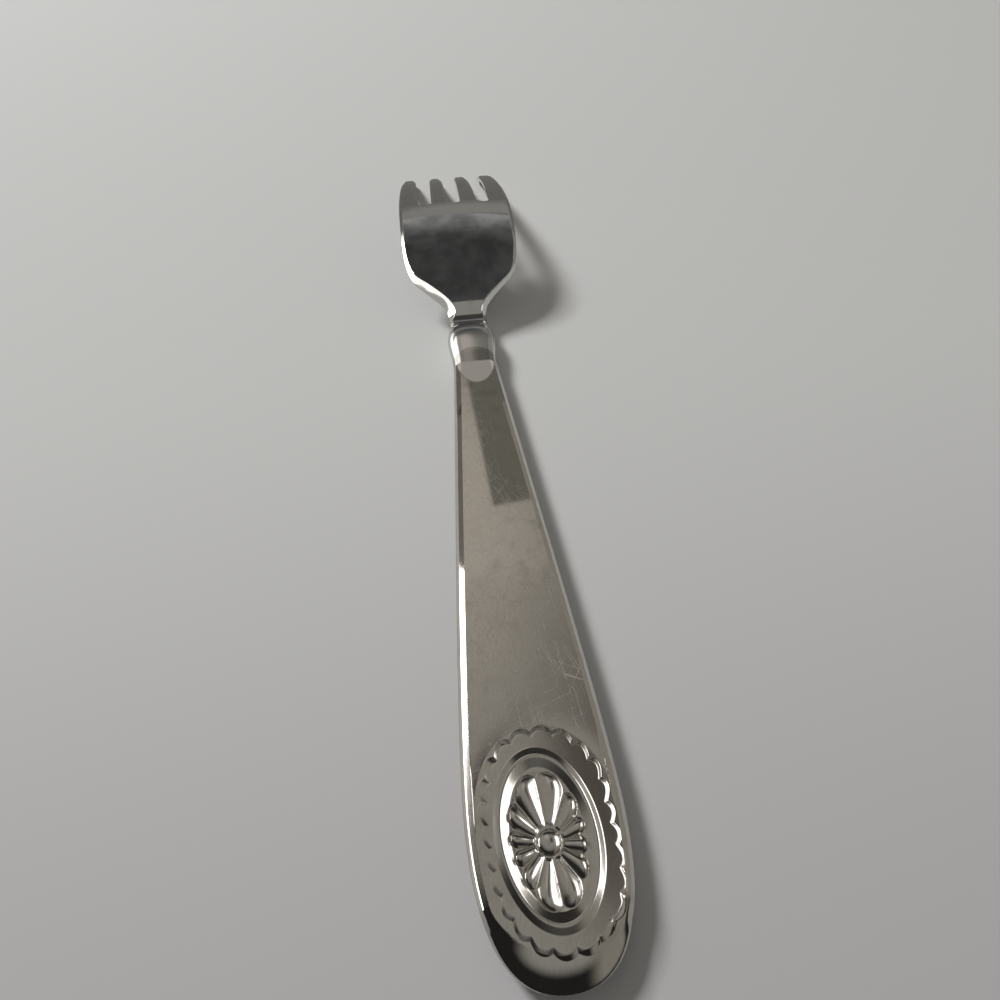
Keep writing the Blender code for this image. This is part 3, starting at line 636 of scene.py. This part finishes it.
def newGroup(name, **numbers):  # a shader group that makes a mask from a vector and named numbers
    group = bpy.data.node_groups.new(name, "ShaderNodeTree")
    group.interface.new_socket("Vector", in_out="INPUT", socket_type="NodeSocketVector")
    for key, value in numbers.items():
        group.interface.new_socket(key, in_out="INPUT", socket_type="NodeSocketFloat").default_value = value
    group.interface.new_socket("Mask", in_out="OUTPUT", socket_type="NodeSocketFloat")
    return group, addNode(group, "NodeGroupInput"), addNode(group, "NodeGroupOutput")


scratch = dict(
    # each layer's turn, its lines to the metre across and along, and the noise level over which a line shows
    layers=((0.10, 7000.0, 60.0, 0.70), (-0.62, 8200.0, 90.0, 0.73), (1.12, 7600.0, 120.0, 0.73),
            (-1.25, 9000.0, 100.0, 0.74), (0.42, 6400.0, 70.0, 0.72)),
    softness=0.08, depth=40.0, shift=(0.37, 0.19), breakScale=420.0, breakRange=(0.30, 0.62),
    colour=(0.82, 0.80, 0.77), tone=0.35, roughness=0.25, cut=0.00002,  # what a line does to the steel
)
smudge = dict(
    clouds=((1.0, 3.0), (3.7, 5.0)), cloudRange=(0.35, 0.7),  # each cloud's scale and detail
    brush=(5200.0, 900.0, 900.0), grainRange=(0.3, 0.75),
)


def scratchGroup():  # fine lines in five directions: noise stretched thin and cut high, broken up by a wider noise
    s = scratch
    group, enter, leave = newGroup("hairScratches", Amount=0.5)
    where = enter.outputs["Vector"]
    lines = None
    for k, (turn, fineness, reach, level) in enumerate(s["layers"]):
        mapping = addNode(group, "ShaderNodeMapping", vector_type="TEXTURE")
        mapping.inputs["Location"].default_value = (k * s["shift"][0], k * s["shift"][1], 0.0)
        mapping.inputs["Rotation"].default_value = (0.0, 0.0, turn)
        mapping.inputs["Scale"].default_value = (1 / fineness, 1 / reach, 1 / s["depth"])
        group.links.new(where, mapping.inputs["Vector"])
        noise = noiseNode(group, mapping.outputs["Vector"], 1.0, 0.0)
        line = rangeNode(group, noise, level, level + s["softness"])
        lines = line if lines is None else mathNode(group, "MAXIMUM", lines, line)
    broken = rangeNode(group, noiseNode(group, where, s["breakScale"]), *s["breakRange"])
    worn = addNode(group, "ShaderNodeAttribute", attribute_name="worn").outputs["Fac"]
    for factor in (broken, worn, enter.outputs["Amount"]):
        lines = mathNode(group, "MULTIPLY", lines, factor)
    group.links.new(lines, leave.inputs["Mask"])
    return group


def smudgeGroup():  # cloudy handling marks: two sizes of noise multiplied, over a fine grain
    s = smudge
    group, enter, leave = newGroup("handlingSmudges", Scale=200.0, Grain=0.6)
    where = enter.outputs["Vector"]
    clouds = []
    for factor, detail in s["clouds"]:
        scale = mathNode(group, "MULTIPLY", enter.outputs["Scale"], factor)
        clouds.append(rangeNode(group, noiseNode(group, where, scale, detail), *s["cloudRange"]))
    brushed = addNode(group, "ShaderNodeVectorMath", operation="MULTIPLY")
    brushed.inputs[1].default_value = s["brush"]
    group.links.new(where, brushed.inputs[0])
    grain = rangeNode(group, noiseNode(group, brushed.outputs[0], 1.0), *s["grainRange"])
    speckle = mathNode(group, "MULTIPLY", grain, enter.outputs["Grain"])
    group.links.new(mathNode(group, "MAXIMUM", mathNode(group, "MULTIPLY", *clouds), speckle), leave.inputs["Mask"])
    return group


scratches = scratchGroup()
smudges = smudgeGroup()


def placeGroup(tree, group, vector, **values):  # a shared group's mask, with this material's settings
    node = addNode(tree, "ShaderNodeGroup", node_tree=group)
    tree.links.new(vector, node.inputs["Vector"])
    for key, value in values.items():
        node.inputs[key].default_value = value
    return node.outputs["Mask"]


def steel(name, colour, tint, roughness, worn, scratchAmount, smudgeScale, grain, bump):
    # clouds turn the colour into the tint and the roughness into the worn one
    # scratches are paler and rougher, and cut in
    material, tree, shader = newMaterial(name)
    shader.inputs["Metallic"].default_value = 1.0
    where = whereNode(tree)
    lines = placeGroup(tree, scratches, where, Amount=scratchAmount)
    clouds = placeGroup(tree, smudges, where, Scale=smudgeScale, Grain=grain)
    tone = mixNode(tree, clouds, colour, tint)
    tone = mixNode(tree, mathNode(tree, "MULTIPLY", lines, scratch["tone"]), tone, scratch["colour"])
    tree.links.new(tone, shader.inputs["Base Color"])
    rough = rangeNode(tree, clouds, 0.0, 1.0, roughness, worn)
    rough = mathNode(tree, "ADD", rough, mathNode(tree, "MULTIPLY", lines, scratch["roughness"]))
    tree.links.new(rough, shader.inputs["Roughness"])
    relief = addNode(tree, "ShaderNodeBump")
    relief.inputs["Strength"].default_value = bump
    relief.inputs["Distance"].default_value = scratch["cut"]
    tree.links.new(mathNode(tree, "SUBTRACT", 1.0, lines), relief.inputs["Height"])
    tree.links.new(relief.outputs["Normal"], shader.inputs["Normal"])
    return material, tree, shader


def shineByPoint(tree, shader, mirror):  # roughness falls to a share of itself where the mesh is marked as polished
    polish = addNode(tree, "ShaderNodeAttribute", attribute_name="polish").outputs["Fac"]
    old = shader.inputs["Roughness"].links[0].from_socket
    rough = mathNode(tree, "MULTIPLY", old, rangeNode(tree, polish, 0.0, 1.0, 1.0, mirror))
    tree.links.new(rough, shader.inputs["Roughness"])


def groundSpotAndPaintedReflection(tree, shader, length, width, colour, roughness=0.0, soft=0.12):
    # an oval over the joint in another tone and perhaps rougher: on the handle a ground spot, on the collar a
    # painted dark reflection
    parts = splitNode(tree, whereNode(tree))
    ahead = mathNode(tree, "DIVIDE", mathNode(tree, "SUBTRACT", parts["Y"], endY + mouthFromEnd), length)
    aside = mathNode(tree, "DIVIDE", parts["X"], width / 2)
    oval = mathNode(tree, "ADD", mathNode(tree, "MULTIPLY", ahead, ahead), mathNode(tree, "MULTIPLY", aside, aside))
    spot = rangeNode(tree, oval, 1 - soft, 1 + soft, 1.0, 0.0)
    if roughness:
        old = shader.inputs["Roughness"].links[0].from_socket
        rough = mathNode(tree, "ADD", old, mathNode(tree, "MULTIPLY", spot, roughness))
        tree.links.new(rough, shader.inputs["Roughness"])
    tone = mixNode(tree, spot, shader.inputs["Base Color"].links[0].from_socket, colour)
    tree.links.new(tone, shader.inputs["Base Color"])


cement = dict(colour=(0.50, 0.45, 0.37), tint=(0.62, 0.58, 0.50), roughness=0.95, cloudScale=900.0)


def cementFinish():  # grainy casting cement
    material, tree, shader = newMaterial("castCement")
    shader.inputs["Roughness"].default_value = cement["roughness"]
    clouds = placeGroup(tree, smudges, whereNode(tree), Scale=cement["cloudScale"])
    tree.links.new(mixNode(tree, clouds, cement["colour"], cement["tint"]), shader.inputs["Base Color"])
    return material


finishes = dict(
    forkHead=dict(colour=(0.62, 0.61, 0.59), tint=(0.50, 0.49, 0.47), roughness=0.06, worn=0.22,
                  scratchAmount=0.2, smudgeScale=90.0, grain=0.12, bump=0.05),
    neckCollar=dict(colour=(0.66, 0.65, 0.64), tint=(0.58, 0.57, 0.55), roughness=0.17, worn=0.22,
                    scratchAmount=0.15, smudgeScale=240.0, grain=0.1, bump=0.03),
    handleBackShell=dict(colour=(0.62, 0.595, 0.555), tint=(0.51, 0.485, 0.45), roughness=0.22, worn=0.28,
                         scratchAmount=0.7, smudgeScale=120.0, grain=0.6, bump=0.25),
    handleFrontShell=dict(colour=(0.58, 0.56, 0.52), tint=(0.50, 0.475, 0.44), roughness=0.24, worn=0.30,
                          scratchAmount=0.7, smudgeScale=120.0, grain=0.6, bump=0.25),
)
mirror = 0.09  # share of the satin roughness left where a shell is fully polished
groundSpotsAndPaintedReflection = dict(
    # on the collar: painted dark reflection, a darker oval over its rear
    neckCollar=dict(length=0.0040, width=0.0104, colour=(0.46, 0.45, 0.43)),
    # on the handle: a paler, rougher ground spot
    handleBackShell=dict(length=0.0059, width=0.0077, colour=(0.88, 0.85, 0.82), roughness=0.38),
)
nodeOf = dict(  # the CAD node that each piece replaces, and its slot
    forkHead=("fork_head", "polished_steel"), neckCollar=("neck_collar", "collar_steel"),
    handleBackShell=("handle_back_shell", "satin_steel"), handleFrontShell=("handle_front_shell", "worn_steel"),
)
for piece in (headPiece, collarPiece, backPiece, frontPiece):
    material, tree, shader = steel(piece.name + "Steel", **finishes[piece.name])
    if "Shell" in piece.name:
        shineByPoint(tree, shader, mirror)
    if piece.name in groundSpotsAndPaintedReflection:
        # painted dark reflection on the collar, ground spot on the handle
        groundSpotAndPaintedReflection(tree, shader, **groundSpotsAndPaintedReflection[piece.name])
    piece.data.materials.append(material)
    node, slot = nodeOf[piece.name]
    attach(piece, "root")
    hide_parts(node)
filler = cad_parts["handle_filler"]
filler.data.materials.clear()
filler.data.materials.append(cementFinish())
print("finishes set")


# Table, light and camera

table = dict(
    # near is darker than far: painted shade over the near part of the table
    reach=1.5, near=(0.51, 0.506, 0.525), far=(0.65, 0.655, 0.66), nearToFar=(-0.13, 0.03), roughness=0.7, shine=0.1,
)


def buildTable():  # a pale square whose tone changes from near to far
    reach = table["reach"]
    corners = [(-reach, -reach, 0.0), (reach, -reach, 0.0), (reach, reach, 0.0), (-reach, reach, 0.0)]
    mesh = bpy.data.meshes.new("tableTop")
    mesh.from_pydata(corners, [], [(0, 1, 2, 3)])
    top = bpy.data.objects.new("tableTop", mesh)
    scene.collection.objects.link(top)
    material, tree, shader = newMaterial("paleTable")
    shader.inputs["Roughness"].default_value = table["roughness"]
    shader.inputs["Specular IOR Level"].default_value = table["shine"]
    # painted shade: the tone darkens towards the camera
    away = rangeNode(tree, splitNode(tree, whereNode(tree))["Y"], *table["nearToFar"])
    tree.links.new(mixNode(tree, away, table["near"], table["far"]), shader.inputs["Base Color"])
    mesh.materials.append(material)


def direction(azimuth, elevation):  # unit vector, azimuth from +X towards +Y, degrees
    a, e = math.radians(azimuth), math.radians(elevation)
    return np.array([math.cos(a) * math.cos(e), math.sin(a) * math.cos(e), math.sin(e)])


def axesTowards(away):  # level and upright axes of a plane square to a direction
    right = np.cross([0.0, 0.0, 1.0], away)
    right /= np.linalg.norm(right)
    return right, np.cross(away, right)


windows = dict(
    leftWindow=dict(azimuth=169.0, elevation=7.5, width=0.8, height=0.22, level=7.0, colour=(1.0, 0.99, 0.95)),
    rightWindow=dict(azimuth=5.0, elevation=37.0, width=0.80, height=0.54, level=2.8, colour=(0.97, 0.98, 1.0)),
    keyBox=dict(azimuth=132.0, elevation=40.0, width=0.38, height=0.38, level=45.0, colour=(1.0, 0.995, 0.98),
                shown="diffuse", distance=1.6),
    neckGlow=dict(azimuth=180.0, elevation=19.0, width=0.098, height=0.036, level=1.9, colour=(1.0, 0.99, 0.90),
                  distance=0.055, at=0.1225, only=("forkHead",)),
    collarGlow=dict(azimuth=180.0, elevation=28.0, width=0.110, height=0.054, level=1.9, colour=(1.0, 0.99, 0.93),
                    distance=0.055, at=0.140, only=("neckCollar",)),
)


def buildWindow(name, azimuth, elevation, width, height, level, colour,
                shown="glossy", distance=1.0, at=None, only=()):
    # a soft box round a place along the fork, as bright as its level
    # it shows to one kind of ray, and to some or all of the pieces
    lamp = bpy.data.lights.new(name, "AREA")
    lamp.shape = "RECTANGLE"
    lamp.size, lamp.size_y = width, height
    lamp.energy = level * math.pi * width * height
    lamp.color = colour
    holder = bpy.data.objects.new(name, lamp)
    scene.collection.objects.link(holder)
    holder.visible_glossy = shown == "glossy"
    holder.visible_diffuse = shown == "diffuse"
    away = direction(azimuth, elevation)
    matrix = np.eye(4)
    matrix[:3, 0], matrix[:3, 1] = axesTowards(away)
    matrix[:3, 2] = away
    matrix[:3, 3] = away * distance + (0.0, 0.0 if at is None else endY + at, 0.0)
    holder.matrix_world = Matrix(matrix.tolist())
    if only:
        lit = bpy.data.collections.new(name + "Pieces")
        for piece in only:
            lit.objects.link(bpy.data.objects[piece])
        holder.light_linking.receiver_collection = lit


room = dict(
    low=(0.19, 0.185, 0.175), high=(0.325, 0.315, 0.285), rise=(0.2, 0.6),  # ahead, by height
    backLow=(0.02, 0.019, 0.018), backHigh=(0.32, 0.315, 0.295), backRise=(0.60, 0.97),  # behind, by height
    besideBack=(0.28, 0.27, 0.24), beside=(0.25, 0.60), besideRise=(0.06, 0.20),  # behind on the right
    backToFront=(-0.12, 0.10), patchFrom=(0.05, 0.1),
    backdrop=(0.42, 0.42, 0.415),  # the plain wall that shows behind the table
    patches=[
        dict(azimuth=80.0, elevation=25.0, roll=0.0, half=(0.60, 0.355), soft=0.06, colour=(0.022, 0.022, 0.021)),
        dict(azimuth=100.0, elevation=57.5, roll=-10.0, half=(0.21, 0.20), soft=0.09, colour=(0.50, 0.465, 0.42)),
        dict(azimuth=65.2, elevation=46.1, roll=25.0, half=(0.25, 0.103), soft=0.004, colour=(0.175, 0.17, 0.15)),
        dict(azimuth=45.0, elevation=69.1, roll=45.0, half=(0.13, 0.19), soft=0.06, colour=(0.06, 0.048, 0.04)),
        dict(azimuth=15.0, elevation=10.0, roll=0.0, half=(0.60, 0.22), soft=0.08, colour=(0.30, 0.29, 0.25)),
    ],
)


def buildRoom():  # what the steel mirrors: tones by height and side, then soft-edged oblong patches over them
    world = bpy.data.worlds.new("studioRoom")
    scene.world = world
    world.use_nodes = True
    tree = world.node_tree
    tree.nodes.clear()
    where = whereNode(tree, "Generated")
    parts = splitNode(tree, where)

    def along(vector):  # how far a ray goes along a direction
        dot = addNode(tree, "ShaderNodeVectorMath", operation="DOT_PRODUCT")
        tree.links.new(where, dot.inputs[0])
        dot.inputs[1].default_value = vector.tolist()
        return dot.outputs["Value"]

    ahead = mixNode(tree, rangeNode(tree, parts["Z"], *room["rise"]), room["low"], room["high"])
    behind = mixNode(tree, rangeNode(tree, parts["Z"], *room["backRise"]), room["backLow"], room["backHigh"])
    beside = rangeNode(tree, parts["X"], *room["beside"])
    beside = mathNode(tree, "MULTIPLY", beside, rangeNode(tree, parts["Z"], *room["besideRise"]))
    behind = mixNode(tree, beside, behind, room["besideBack"])
    colour = mixNode(tree, rangeNode(tree, parts["Y"], *room["backToFront"]), behind, ahead)
    for patch in room["patches"]:
        centre = direction(patch["azimuth"], patch["elevation"])
        right, over = axesTowards(centre)
        c, s = math.cos(math.radians(patch["roll"])), math.sin(math.radians(patch["roll"]))
        depth = along(centre)
        mask = rangeNode(tree, depth, *room["patchFrom"])
        for axis, edge in ((right * c + over * s, patch["half"][0]), (over * c - right * s, patch["half"][1])):
            offset = mathNode(tree, "ABSOLUTE", mathNode(tree, "DIVIDE", along(axis), depth))
            inside = rangeNode(tree, offset, edge - patch["soft"], edge + patch["soft"], 1.0, 0.0)
            mask = mathNode(tree, "MULTIPLY", mask, inside)
        colour = mixNode(tree, mask, colour, patch["colour"])
    seen = addNode(tree, "ShaderNodeLightPath").outputs["Is Camera Ray"]
    background = addNode(tree, "ShaderNodeBackground")
    tree.links.new(mixNode(tree, seen, colour, room["backdrop"]), background.inputs["Color"])
    leave = addNode(tree, "ShaderNodeOutputWorld")
    tree.links.new(background.outputs[0], leave.inputs[0])


cards = dict(
    overHead=dict(path=[(0.0, 0.1275, 0.0125), (0.0, 0.141, 0.0215), (0.0, 0.1532, 0.0212)],
                  across=[(0.07, 0.0), (0.07, -0.003), (0.07, -0.006)],  # one step across at each point
                  stops=[(0.0, 0.062), (0.55, 0.055), (0.70, 0.09), (0.84, 0.19), (1.0, 0.33)],
                  colour=(0.99, 1.0, 1.02), clouds=dict(scale=220.0, range=(0.3, 0.7), levels=(0.78, 1.3))),
    beforeTips=dict(path=[(0.0, 0.1855, 0.0004), (0.0, 0.192, 0.050), (0.0, 0.194, 0.070)],
                    across=(0.18, 0.0),  # the same step for the whole path
                    stops=[(0.0, 0.167), (0.36, 0.167), (0.57, 0.29), (0.85, 0.29), (1.0, 0.22)],
                    colour=(1.02, 1.0, 0.95)),
)


def buildCard(name, path, across, stops, colour, clouds=None):
    # a path swept straight across, glowing by stops along it and cloudy if asked, seen only in reflections
    path = np.array(path) + (0.0, endY, 0.0)
    sweep = np.zeros(path.shape)
    sweep[:, :2] = np.array(across) / 2
    first = np.arange(len(path))
    quads = bandQuads(first, first + len(path))
    mesh = bpy.data.meshes.new(name)
    mesh.from_pydata(np.vstack([path - sweep, path + sweep]).tolist(), [], quads.tolist())
    card = bpy.data.objects.new(name, mesh)
    scene.collection.objects.link(card)
    card.visible_camera = card.visible_diffuse = card.visible_shadow = card.visible_transmission = False
    share = np.concatenate([[0.0], np.cumsum(np.linalg.norm(np.diff(path, axis=0), axis=1))])
    mesh.attributes.new("along", "FLOAT", "POINT").data.foreach_set("value", np.tile(share / share[-1], 2))
    material, tree, shader = newMaterial(name + "Shade")
    shader.inputs["Base Color"].default_value = (0.0, 0.0, 0.0, 1.0)
    shader.inputs["Specular IOR Level"].default_value = 0.0
    shader.inputs["Emission Strength"].default_value = 1.0
    if clouds:
        noise = noiseNode(tree, whereNode(tree), clouds["scale"])
        glow = rangeNode(tree, noise, *clouds["range"], *clouds["levels"])
        tree.links.new(glow, shader.inputs["Emission Strength"])
    ramp = addNode(tree, "ShaderNodeValToRGB")
    while len(ramp.color_ramp.elements) < len(stops):
        ramp.color_ramp.elements.new(0.5)
    for element, (place, level) in zip(ramp.color_ramp.elements, stops):
        element.position = place
        element.color = (*(level * c for c in colour), 1.0)
    along = addNode(tree, "ShaderNodeAttribute", attribute_name="along").outputs["Fac"]
    tree.links.new(along, ramp.inputs["Fac"])
    tree.links.new(ramp.outputs["Color"], shader.inputs["Emission Color"])
    mesh.materials.append(material)


view = dict(
    x=-0.00934, fromEnd=-0.00096, height=0.1179, turn=math.radians(7.4028), tilt=math.radians(34.5),
    lens=27.0, sensor=36.0, near=0.005,
)


def buildCamera():  # at the photograph's place over the handle's end, looking along the fork
    camera = bpy.data.cameras.new("camera")
    camera.lens, camera.sensor_width, camera.sensor_fit = view["lens"], view["sensor"], "HORIZONTAL"
    camera.clip_start = view["near"]
    holder = bpy.data.objects.new("camera", camera)
    scene.collection.objects.link(holder)
    holder.location = (view["x"], endY + view["fromEnd"], view["height"])
    holder.rotation_euler = (view["tilt"], 0.0, -view["turn"])
    scene.camera = holder


buildTable()
for name, values in windows.items():
    buildWindow(name, **values)
buildRoom()
for name, values in cards.items():
    buildCard(name, **values)
buildCamera()
scene.view_settings.view_transform = "Standard"
print("table, light and camera set")
